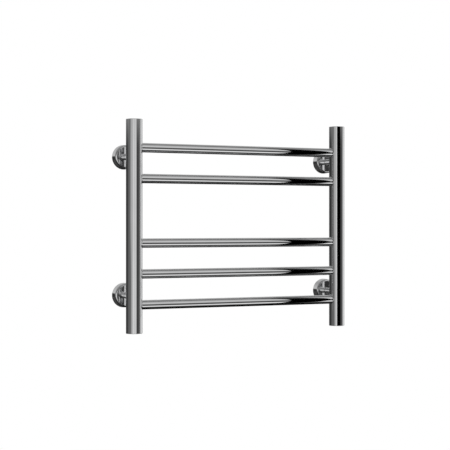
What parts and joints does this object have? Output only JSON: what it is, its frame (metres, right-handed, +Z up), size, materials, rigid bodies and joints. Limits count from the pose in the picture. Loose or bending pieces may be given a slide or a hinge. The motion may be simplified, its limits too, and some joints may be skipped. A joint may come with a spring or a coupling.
{
  "type": "towel warmer rack",
  "caption": "Wall-hung ladder towel warmer with round tube uprights, straight round rungs in spaced groups, and telescopic brackets with deep round covers.",
  "frame": {"origin": "centre of the four wall-screw holes, on the wall plane that the wall bases rest on", "axes": "+X along the rungs, to the right as seen from the room; +Y into the wall; +Z up"},
  "size_m": [0.52, 0.0765, 0.43],
  "materials": {
    "chrome_tube": "mirror-polished chrome on steel tube",
    "chrome_cover": "polished chrome on a deep-drawn cover, faint turning marks on the face",
    "chrome_plug": "satin chrome on turned brass",
    "steel_socket": "machined steel, polished flush with the tube's end",
    "zinc_base": "zinc-plated steel, satin",
    "black_steel_screw": "blackened hardened steel",
    "brass_screw": "turned brass",
    "rubber_ring": "matt black rubber"
  },
  "bodies": {
    "wall_bases": {"wall_base_top_left": "zinc_base", "wall_base_top_right": "zinc_base", "wall_base_bottom_left": "zinc_base", "wall_base_bottom_right": "zinc_base"},
    "rail": {"left_upright": "chrome_tube", "right_upright": "chrome_tube", "rung_1": "chrome_tube", "rung_2": "chrome_tube", "rung_3": "chrome_tube", "rung_4": "chrome_tube", "rung_5": "chrome_tube", "stem_top_left": "chrome_tube", "stem_top_right": "chrome_tube", "stem_bottom_left": "chrome_tube", "stem_bottom_right": "chrome_tube", "left_inlet_socket": "steel_socket", "right_inlet_socket": "steel_socket", "left_top_socket": "steel_socket", "right_top_socket": "steel_socket", "left_plug_seal": "rubber_ring", "right_plug_seal": "rubber_ring", "blanking_plug": "chrome_plug", "vent_plug": "chrome_plug"},
    "bleed_screw": {"bleed_screw": "brass_screw"},
    "cover_top_left": {"cover_top_left": "chrome_cover", "grip_ring_top_left": "rubber_ring"},
    "set_screw_top_left": {"set_screw_top_left": "black_steel_screw"},
    "cover_top_right": {"cover_top_right": "chrome_cover", "grip_ring_top_right": "rubber_ring"},
    "set_screw_top_right": {"set_screw_top_right": "black_steel_screw"},
    "cover_bottom_left": {"cover_bottom_left": "chrome_cover", "grip_ring_bottom_left": "rubber_ring"},
    "set_screw_bottom_left": {"set_screw_bottom_left": "black_steel_screw"},
    "cover_bottom_right": {"cover_bottom_right": "chrome_cover", "grip_ring_bottom_right": "rubber_ring"},
    "set_screw_bottom_right": {"set_screw_bottom_right": "black_steel_screw"}
  },
  "joints": [
    {"name": "wall_gap_slide", "type": "slide", "parent": "wall_bases", "child": "rail", "axis": [0, -1, 0], "range_m": [0, 0.012]},
    {"name": "bleed_screw_turn", "type": "hinge", "parent": "rail", "child": "bleed_screw", "pos_m": [0.235, -0.06, 0.2134], "axis": [0, 0, 1], "range_deg": [0, 180]},
    {"name": "cover_slide_top_left", "type": "slide", "parent": "wall_bases", "child": "cover_top_left", "axis": [0, -1, 0], "range_m": [0, 0.022]},
    {"name": "set_screw_turn_top_left", "type": "hinge", "parent": "rail", "child": "set_screw_top_left", "pos_m": [-0.235, -0.0055, 0.1352], "axis": [0, 0, 1], "range_deg": [0, 360]},
    {"name": "cover_slide_top_right", "type": "slide", "parent": "wall_bases", "child": "cover_top_right", "axis": [0, -1, 0], "range_m": [0, 0.022]},
    {"name": "set_screw_turn_top_right", "type": "hinge", "parent": "rail", "child": "set_screw_top_right", "pos_m": [0.235, -0.0055, 0.1352], "axis": [0, 0, 1], "range_deg": [0, 360]},
    {"name": "cover_slide_bottom_left", "type": "slide", "parent": "wall_bases", "child": "cover_bottom_left", "axis": [0, -1, 0], "range_m": [0, 0.022]},
    {"name": "set_screw_turn_bottom_left", "type": "hinge", "parent": "rail", "child": "set_screw_bottom_left", "pos_m": [-0.235, -0.0055, -0.1468], "axis": [0, 0, 1], "range_deg": [0, 360]},
    {"name": "cover_slide_bottom_right", "type": "slide", "parent": "wall_bases", "child": "cover_bottom_right", "axis": [0, -1, 0], "range_m": [0, 0.022]},
    {"name": "set_screw_turn_bottom_right", "type": "hinge", "parent": "rail", "child": "set_screw_bottom_right", "pos_m": [0.235, -0.0055, -0.1468], "axis": [0, 0, 1], "range_deg": [0, 360]}
  ]
}
